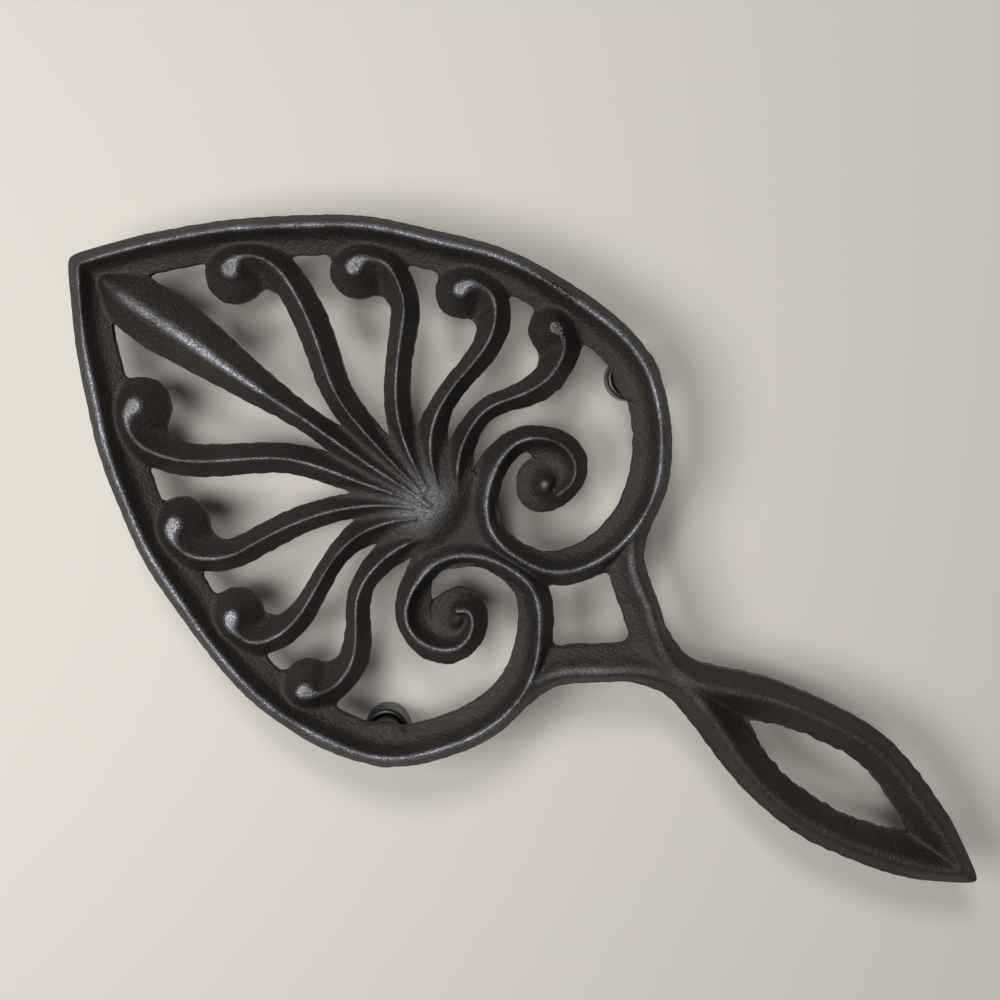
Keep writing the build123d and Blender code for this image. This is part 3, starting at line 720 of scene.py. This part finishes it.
# %% Put arrays into a mesh
def fill_mesh(name, spots, loops, sizes):
    """A mesh from points in metres, the corners of all its faces in one row, and the faces' sizes."""
    mesh = bpy.data.meshes.new(name)
    mesh.vertices.add(len(spots))
    mesh.vertices.foreach_set("co", np.asarray(spots, np.float32).ravel())
    mesh.loops.add(len(loops))
    mesh.loops.foreach_set("vertex_index", np.asarray(loops, np.int32))
    mesh.polygons.add(len(sizes))
    mesh.polygons.foreach_set("loop_start", np.concatenate(([0], np.cumsum(sizes)[:-1])).astype(np.int32))
    mesh.update(calc_edges=True)
    mesh.validate()
    return mesh


def place_piece(name, mesh, material):
    """An object at the origin for a finished mesh."""
    mesh.materials.append(material)
    piece = bpy.data.objects.new(name, mesh)
    bpy.context.scene.collection.objects.link(piece)
    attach(piece, "root")
    return piece


kept = walk >= 0
flipped = walk[:, ::-1]
loops = np.concatenate((walk[kept], *(wall.ravel() for wall in walls), under[flipped[flipped >= 0]]))
sizes = np.concatenate((kept.sum(1), np.full(sum(len(wall) for wall in walls), 4), kept.sum(1)))
raw = fill_mesh("casting_raw", metres(*points.T), loops, sizes)
parts = np.repeat((0, 1, 2), (len(walk), len(sizes) - 2 * len(walk), len(walk)))
raw.attributes.new("part", "INT", "FACE").data.foreach_set("value", parts.astype(np.int32))
triangles = len(loops) - 2 * len(sizes)
print("casting before thinning:", len(points), "points,", triangles, "triangles")

# %% [markdown]
# ## Thin the surface where it is flat
# The even grid spends most of its faces on flat places, above all on the back. Blender's Decimate
# modifier collapses those first and keeps the crests and the outline, so that the piece stays light.

# %% Thin the casting
TRIANGLES = 185000

holder = bpy.data.objects.new("casting_raw", raw)
bpy.context.scene.collection.objects.link(holder)
thin = holder.modifiers.new("thin", "DECIMATE")
thin.ratio = min(1.0, TRIANGLES / triangles)
thinned = holder.evaluated_get(bpy.context.evaluated_depsgraph_get())
casting_mesh = bpy.data.meshes.new_from_object(thinned)
casting_mesh.name = "casting"
bpy.data.objects.remove(holder)
bpy.data.meshes.remove(raw)
print("casting:", len(casting_mesh.polygons), "faces")


# %% Keep the outline crisp
def read(items, name, kind):
    """All values of one property of a mesh's items, as an array."""
    values = np.empty(len(items), kind)
    items.foreach_get(name, values)
    return values


parts = read(casting_mesh.attributes["part"].data, "value", np.int32)
part_of_corner = np.repeat(parts, read(casting_mesh.polygons, "loop_total", np.int32))
edge_of_corner = read(casting_mesh.loops, "edge_index", np.int32)
lowest = np.full(len(casting_mesh.edges), 9)
highest = np.zeros(len(casting_mesh.edges), int)
np.minimum.at(lowest, edge_of_corner, part_of_corner)
np.maximum.at(highest, edge_of_corner, part_of_corner)
casting_mesh.shade_smooth()
sharp = casting_mesh.attributes.new("sharp_edge", "BOOLEAN", "EDGE")
sharp.data.foreach_set("value", lowest != highest)
casting_mesh.attributes.remove(casting_mesh.attributes["part"])
print("crisp edges:", int((lowest != highest).sum()))

# %% [markdown]
# ## How high a place stands above its surroundings
# Handling polishes what stands proud, and what lies low is darkened with soot and painted shade. The height
# less its own average over a few millimetres tells the two apart. It is stored on the mesh, where the iron's
# finish reads it, because a shader can't look at a place's surroundings by itself.

# %% Store the relief on the mesh
SPREAD = 1.5      # millimetres that the average reaches
TOP_LAYER = 0.6   # points deeper than this below the top belong to walls and back


def blur(field, size):
    """Average of a field with bell-shaped weights, first along one axis of the grid and then the other."""
    reach = int(3 * size / GRID)
    taps = np.arange(-reach, reach + 1)
    weights = np.exp(-0.5 * (taps * GRID / size) ** 2)
    for axis in (0, 1):
        field = sum(w * np.roll(field, tap, axis) for tap, w in zip(taps, weights / weights.sum()))
    return field


solid = (cover > 0).astype(float)
around = blur(height * solid, SPREAD) / np.maximum(blur(solid, SPREAD), 1e-3)
relief = np.where(solid > 0, height - around, 0)

spots = np.empty(len(casting_mesh.vertices) * 3, np.float32)
casting_mesh.vertices.foreach_get("co", spots)
spots = spots.reshape(-1, 3).astype(float) * MM - (CAD_BOX[0].x * MM, 0, BACK)
cell = grid_cell(spots)
relief_here = np.where(spots[:, 2] > height[cell] - TOP_LAYER, relief[cell], 0)
relief_data = casting_mesh.attributes.new("relief", "FLOAT", "POINT").data
relief_data.foreach_set("value", relief_here.astype(np.float32))
print(f"relief from {relief_here.min():.2f} to {relief_here.max():.2f} mm")


# %% [markdown]
# ## Finishes
# Old cast iron is brown-black, rusty in patches and finely grained by the sand it was poured in. What lies
# low is darkened, with soot and painted shade. Where hands and pots rub, bare metal comes through: greyer
# and smoother, but broken up, because only the highest grains lose their skin. An image painted over the
# part could show that too. Light grey dots over all of the iron are painted glints for the sparkle of the
# grain, thickest where it is rubbed. Noise on Object coordinates needs no unwrapping, and masks made from
# the stored relief follow the shape by themselves. Rubber is black, even and a little glossy.

# %% Node helpers
def new_material(name):
    """A material with its node tree, and its Principled shader."""
    material = bpy.data.materials.new(name)
    material.use_nodes = True
    return material, material.node_tree, material.node_tree.nodes["Principled BSDF"]


def add_node(tree, kind, inputs=(), **settings):
    """One node with its settings; each input is a value, or a socket to link from."""
    node = tree.nodes.new(kind)
    for name, value in settings.items():
        setattr(node, name, value)
    for key, value in dict(inputs).items():
        if isinstance(value, bpy.types.NodeSocket):
            tree.links.new(value, node.inputs[key])
        else:
            node.inputs[key].default_value = value
    return node


def noise(tree, vector, scale, detail=3.0, roughness=0.55):
    """Value of a cloudy pattern."""
    inputs = {"Vector": vector, "Scale": scale, "Detail": detail, "Roughness": roughness}
    return add_node(tree, "ShaderNodeTexNoise", inputs).outputs["Fac"]


def ramp(tree, value, low, high):
    """A mask that rises smoothly from 0 at the low value to 1 at the high one."""
    inputs = {"Value": value, "From Min": low, "From Max": high}
    return add_node(tree, "ShaderNodeMapRange", inputs, interpolation_type="SMOOTHSTEP").outputs["Result"]


def maths(tree, operation, one, two):
    """One sum on values."""
    return add_node(tree, "ShaderNodeMath", {0: one, 1: two}, operation=operation).outputs[0]


def mix(tree, share, one, two):
    """A colour between two others."""
    node = add_node(tree, "ShaderNodeMix", data_type="RGBA")
    for number, value in ((0, share), (6, one), (7, two)):
        if isinstance(value, bpy.types.NodeSocket):
            tree.links.new(value, node.inputs[number])
        else:
            node.inputs[number].default_value = value
    return node.outputs[2]


def between(tree, value, low, high):
    """A value that goes evenly from low, where the given one is 0, to high, where it is 1."""
    inputs = {"Value": value, "To Min": low, "To Max": high}
    return add_node(tree, "ShaderNodeMapRange", inputs).outputs["Result"]


# %% [markdown]
# ## Grain, built once
# Sand leaves grain on the iron, and a mould leaves a much finer one on the rubber. Both are a noise that
# tilts the normal, so it is one node group, and each material places it with its own values. Copies of the
# nodes in each material would do too, but then a change has to be made in all of them.

# %% Grain as a node group
GRAIN_INPUTS = ("Vector", "Scale", "Detail", "Roughness", "Strength", "Distance", "Normal")
GRAIN_VECTORS = ("Vector", "Normal")

grain_group = bpy.data.node_groups.new("grain", "ShaderNodeTree")
for name in GRAIN_INPUTS:
    kind = "NodeSocketVector" if name in GRAIN_VECTORS else "NodeSocketFloat"
    grain_group.interface.new_socket(name, in_out="INPUT", socket_type=kind)
grain_group.interface.new_socket("Value", in_out="OUTPUT", socket_type="NodeSocketFloat")
grain_group.interface.new_socket("Normal", in_out="OUTPUT", socket_type="NodeSocketVector")

given = grain_group.nodes.new("NodeGroupInput").outputs
value = noise(grain_group, given["Vector"], given["Scale"], given["Detail"], given["Roughness"])
tilt = {name: given[name] for name in ("Strength", "Distance", "Normal")}
bump = add_node(grain_group, "ShaderNodeBump", {"Height": value, **tilt})
add_node(grain_group, "NodeGroupOutput", {"Value": value, "Normal": bump.outputs["Normal"]})


def add_grain(tree, *values):
    """The grain placed in one material, with values or sockets in the order of its inputs; its outputs."""
    return add_node(tree, "ShaderNodeGroup", zip(GRAIN_INPUTS, values), node_tree=grain_group).outputs


print("grain:", len(grain_group.nodes), "nodes")

# %% Cast iron: where it is rubbed and worn
PALM = metres(HUB - 4.0, 0.0, HUB_HEIGHT)   # the hub's flat, which pots rub too
PALM_REACH = (0.0095, 0.002)                # metres from there, from untouched to rubbed
RUBBED_RELIEF = (1.1, 1.9)                  # millimetres above the surroundings, from untouched to rubbed
RUBBED_DEPTH = 0.9                          # millimetres below the highest crests where rubbing ends

iron, tree, shader = new_material("cast_iron")
place = add_node(tree, "ShaderNodeTexCoord").outputs["Object"]
raised = add_node(tree, "ShaderNodeAttribute", attribute_name="relief").outputs["Fac"]
rise = add_node(tree, "ShaderNodeSeparateXYZ", {0: place}).outputs["Z"]
from_palm = add_node(tree, "ShaderNodeVectorMath", {0: place, 1: tuple(PALM)}, operation="DISTANCE")
patches = noise(tree, place, 70.0, 4.0, 0.6)
sand = noise(tree, place, 2600.0, 3.0, 0.6)
on_ridges = maths(tree, "MULTIPLY", ramp(tree, raised, *RUBBED_RELIEF), 0.8)
on_crests = ramp(tree, rise, (BACK + CREST - RUBBED_DEPTH) / MM, (BACK + CREST) / MM)
on_palm = maths(tree, "MULTIPLY", ramp(tree, from_palm.outputs["Value"], *PALM_REACH), 0.6)
rubbed = maths(tree, "MAXIMUM", maths(tree, "MAXIMUM", on_ridges, on_crests), on_palm)
broken = maths(tree, "MULTIPLY", ramp(tree, sand, 0.30, 0.68), ramp(tree, patches, 0.32, 0.62))
worn = maths(tree, "MULTIPLY", rubbed, broken)
print("masks of the iron:", len(tree.nodes), "nodes")

# %% Cast iron: colour
IRON = (0.0078, 0.0054, 0.0042, 1)
RUST = (0.019, 0.0118, 0.0078, 1)
WORN = (0.25, 0.265, 0.31, 1)
# Colour of the low places: soot, and painted shade.
SOOT_AND_SHADE = (0.0040, 0.0032, 0.0028, 1)
# Light grey of the painted glints: dots that stand in for the sparkle of the grain.
PAINTED_GLINT = (0.28, 0.285, 0.31, 1)
# Relief over which low places go from clean to fully darkened with soot and painted shade.
SUNK_RELIEF = (0.1, -0.9)    # millimetres above the surroundings, from clean to sooty

# Low places are darkened: soot and painted shade.
soot_and_shade = maths(tree, "MULTIPLY", ramp(tree, raised, *SUNK_RELIEF), 0.35)
# Painted glints: light grey dots from fine noise, a few everywhere and more where the iron is rubbed.
glints = ramp(tree, noise(tree, place, 3000.0, 2.0), 0.58, 0.70)
painted_glints = maths(tree, "MULTIPLY", glints, maths(tree, "ADD", maths(tree, "MULTIPLY", rubbed, 0.75), 0.12))
colour = mix(tree, ramp(tree, patches, 0.35, 0.7), IRON, RUST)
colour = mix(tree, soot_and_shade, colour, SOOT_AND_SHADE)
colour = mix(tree, worn, colour, WORN)
colour = mix(tree, painted_glints, colour, PAINTED_GLINT)
tree.links.new(colour, shader.inputs["Base Color"])
tree.links.new(maths(tree, "MULTIPLY", worn, 0.85), shader.inputs["Metallic"])
print("with the colour:", len(tree.nodes), "nodes")

# %% Cast iron: gloss and grain
IRON_GRAIN = 0.0004          # metres between the lowest and the highest grains
IRON_GLOSS = 0.58
IRON_TINT = (1.0, 0.93, 0.87, 1)

smooth = add_node(tree, "ShaderNodeNewGeometry").outputs["Normal"]
unpolished = maths(tree, "SUBTRACT", 1.0, maths(tree, "MULTIPLY", rubbed, 0.5))
grain = add_grain(tree, place, 1500.0, 4.0, 0.65, unpolished, IRON_GRAIN, smooth)
pits = add_grain(tree, place, 900.0, 3.0, 0.6, 0.4, IRON_GRAIN, grain["Normal"])
tree.links.new(pits["Normal"], shader.inputs["Normal"])
polish = maths(tree, "MULTIPLY", rubbed, 0.34)
rough = maths(tree, "SUBTRACT", between(tree, pits["Value"], 0.50, 0.64), polish)
tree.links.new(rough, shader.inputs["Roughness"])
shader.inputs["Specular IOR Level"].default_value = IRON_GLOSS
shader.inputs["Specular Tint"].default_value = IRON_TINT
print("whole iron:", len(tree.nodes), "nodes")

# %% Rubber
RUBBER = (0.005, 0.005, 0.0055, 1)
BLOOM = (0.009, 0.009, 0.01, 1)    # the greyer film on old rubber
RUBBER_GRAIN = 0.0001

rubber, tree, shader = new_material("rubber")
place = add_node(tree, "ShaderNodeTexCoord").outputs["Object"]
smooth = add_node(tree, "ShaderNodeNewGeometry").outputs["Normal"]
cloud = noise(tree, place, 300.0)
grain = add_grain(tree, place, 1500.0, 3.0, 0.55, 0.15, RUBBER_GRAIN, smooth)
tree.links.new(mix(tree, cloud, RUBBER, BLOOM), shader.inputs["Base Color"])
tree.links.new(between(tree, cloud, 0.28, 0.42), shader.inputs["Roughness"])
tree.links.new(grain["Normal"], shader.inputs["Normal"])
print("rubber:", len(tree.nodes), "nodes")

# %% [markdown]
# ## The casting takes its place
# On the real trivet all members but the rubber tips are one pour of iron. The solids of the members could
# be dressed one by one, but seams would show between them, so the sculpted surface replaces them all.

# %% Stand the casting in the frame
CAST_NODES = [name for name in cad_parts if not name.startswith(("rubber_tip", "leg"))]
casting = place_piece("casting", casting_mesh, iron)
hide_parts(*CAST_NODES)
print("casting stands for", len(CAST_NODES), "members")


# %% [markdown]
# ## Legs and rubber tips
# A leg is a taper that flares into the back of the casting, and a tip is a rubber cup with a rounded lip.
# Both are turned shapes: a profile of radii and heights, carried round the leg's axis. A Screw modifier
# could turn it too; as arrays, all rings of points are worked out at once.

# %% Turn a profile round a foot
TURNS = 72
CRISP = 50   # degrees between two faces, from which their edge stays crisp


def turned_mesh(name, foot, profile):
    """Surface of revolution: the point at an angle and a step of the profile is (r cos, r sin, height)."""
    radius, rise = np.array(profile, float).T
    angle = np.linspace(0, math.tau, TURNS, endpoint=False)
    spots = np.stack((foot[0] + np.outer(radius, np.cos(angle)), foot[1] + np.outer(radius, np.sin(angle)),
                      np.outer(rise, np.ones(TURNS)) - BACK), -1).reshape(-1, 3)
    step, turn = np.meshgrid(np.arange(len(radius) - 1), np.arange(TURNS), indexing="ij")
    after = (turn + 1) % TURNS
    lower = step * TURNS
    upper = lower + TURNS
    quads = np.stack((lower + turn, lower + after, upper + after, upper + turn), -1)
    caps = np.concatenate((np.arange(TURNS)[::-1], np.arange(TURNS) + (len(radius) - 1) * TURNS))
    sizes = np.concatenate((np.full(quads[..., 0].size, 4), (TURNS, TURNS)))
    mesh = fill_mesh(name, metres(*spots.T), np.concatenate((quads.ravel(), caps)), sizes)
    mesh.shade_smooth()
    mesh.set_sharp_from_angle(angle=math.radians(CRISP))
    return mesh


def arc(middle_radius, middle_height, radius, start, end, steps=7):
    """Points of a rounded edge: an arc about a middle, by angles in degrees."""
    angle = np.radians(np.linspace(start, end, steps))
    return list(zip(middle_radius + radius * np.cos(angle), middle_height + radius * np.sin(angle)))


# %% Make the legs and tips
LEG_END = 3.6
LEG_TOP = 4.4
LEG_BEVEL = 0.4
TIP_OUTER = 5.2
TIP_FLOOR = 3.0     # height of the leg's end inside the tip
TIP_RISE = node_box("rubber_tip_left")[1, 2]
SOLE = 1.0          # rounding of a tip's lower edge
LIP = 0.75          # and of its upper one
FIT = 0.05          # a tip's inside stands this far off the leg

for side, foot in FEET.items():
    leg = [(LEG_END - LEG_BEVEL, TIP_FLOOR), (LEG_END, TIP_FLOOR + LEG_BEVEL), (LEG_END, TIP_RISE),
           (LEG_TOP - 0.4, BACK - 2.0), (LEG_TOP, BACK - 0.6), (LEG_TOP + 0.2, BACK + 0.2)]
    piece = place_piece(f"cast_leg_{side}", turned_mesh(f"cast_leg_{side}", foot, leg), iron)
    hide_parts(f"leg_{side}")
    tip = ([(LEG_END - 1.2, 0.0)] + arc(TIP_OUTER - SOLE, SOLE, SOLE, -90, 0) + [(TIP_OUTER, 4.0)]
           + arc(TIP_OUTER - LIP, TIP_RISE - LIP, LIP, 0, 180, 13)
           + [(LEG_END + FIT, TIP_RISE - 2 * LIP), (LEG_END + FIT, TIP_FLOOR)])
    piece = place_piece(f"rubber_cap_{side}", turned_mesh(f"rubber_cap_{side}", foot, tip), rubber)
    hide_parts(f"rubber_tip_{side}")
print("legs and tips:", len(FEET))

# %% [markdown]
# ## Floor and light
# The trivet lies on a plain pale floor. A lamp from the picture's left gives most of the light, a small
# window above it draws the highlights, and daylight from almost overhead evens out the floor. Far from the
# lamps the floor would go dark, and more light there would also fall on the iron. So the far floor and the
# world are pale only as the camera sees them, and the world stays dim as a light.

# %% Floor
FLOOR = (0.60, 0.56, 0.50, 1)
FAR_FLOOR = (0.41, 0.40, 0.385, 1)   # what the camera sees in addition, far from the lamps
FAR = (0.1, 0.9)                     # metres from the middle, over which that comes in
WIDE = 3.0                           # metres from the middle to the floor's edges

floor_mesh = bpy.data.meshes.new("floor")
floor_mesh.from_pydata([(-WIDE, -WIDE, 0), (WIDE, -WIDE, 0), (WIDE, WIDE, 0), (-WIDE, WIDE, 0)],
                       [], [(0, 1, 2, 3)])
floor_material, tree, shader = new_material("floor")
shader.inputs["Base Color"].default_value = FLOOR
shader.inputs["Roughness"].default_value = 0.9
place = add_node(tree, "ShaderNodeTexCoord").outputs["Object"]
away = add_node(tree, "ShaderNodeVectorMath", {0: place}, operation="LENGTH").outputs["Value"]
seen = add_node(tree, "ShaderNodeLightPath").outputs["Is Camera Ray"]
paleness = maths(tree, "MULTIPLY", seen, ramp(tree, away, *FAR))
tree.links.new(paleness, shader.inputs["Emission Strength"])
shader.inputs["Emission Color"].default_value = FAR_FLOOR
floor_mesh.materials.append(floor_material)
floor = bpy.data.objects.new("floor", floor_mesh)
bpy.context.scene.collection.objects.link(floor)
floor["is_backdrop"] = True
print(f"floor: {2 * WIDE:.0f} m wide")

# %% World
FILL = 0.05                         # brightness of the world as a light
BACKDROP = 0.6                      # and as the camera sees it
WORLD_TINT = (0.94, 0.96, 1.0, 1)

world = bpy.data.worlds.new("world")
world.use_nodes = True
tree = world.node_tree
background = tree.nodes["Background"]
seen = add_node(tree, "ShaderNodeLightPath").outputs["Is Camera Ray"]
background.inputs["Color"].default_value = WORLD_TINT
tree.links.new(between(tree, seen, FILL, BACKDROP), background.inputs["Strength"])
bpy.context.scene.world = world
print(f"world: {FILL} as a light, {BACKDROP} as a backdrop")

# %% Lamps and daylight
LAMPS = {   # direction from the trivet, distance and size in metres, watts
    "lamp": ((-0.46, -0.39, 1.0), 0.45, 0.2, 1.35),
    "window": ((-0.40, 0.33, 0.85), 0.8, 0.18, 2.1),
}
DAYLIGHT = 0.75                     # watts on a square metre of the floor
DAYLIGHT_FROM = (-0.10, -0.06, 1.0)
DAYLIGHT_WIDTH = 14                 # degrees, which sets how soft its shadows are

for name, (toward, distance, size, power) in LAMPS.items():
    lamp_data = bpy.data.lights.new(name, "AREA")
    lamp_data.size = size
    lamp_data.energy = power
    lamp = bpy.data.objects.new(name, lamp_data)
    lamp.location = np.array(toward) / np.linalg.norm(toward) * distance
    lamp.rotation_euler = lamp.location.to_track_quat("Z", "Y").to_euler()
    bpy.context.scene.collection.objects.link(lamp)

daylight_data = bpy.data.lights.new("daylight", "SUN")
daylight_data.energy = DAYLIGHT
daylight_data.angle = math.radians(DAYLIGHT_WIDTH)
daylight = bpy.data.objects.new("daylight", daylight_data)
daylight.rotation_euler = Vector(DAYLIGHT_FROM).to_track_quat("Z", "Y").to_euler()
bpy.context.scene.collection.objects.link(daylight)
print("lamps:", len(LAMPS), "and daylight")

# %% View settings and the sizes of what is shown
bpy.context.scene.view_settings.view_transform = "Standard"
sizes = {"cad": [list(corner) for corner in CAD_BOX], "visual": [list(corner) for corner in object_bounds()]}
print("visual box:", [tuple(round(x, 5) for x in corner) for corner in sizes["visual"]])
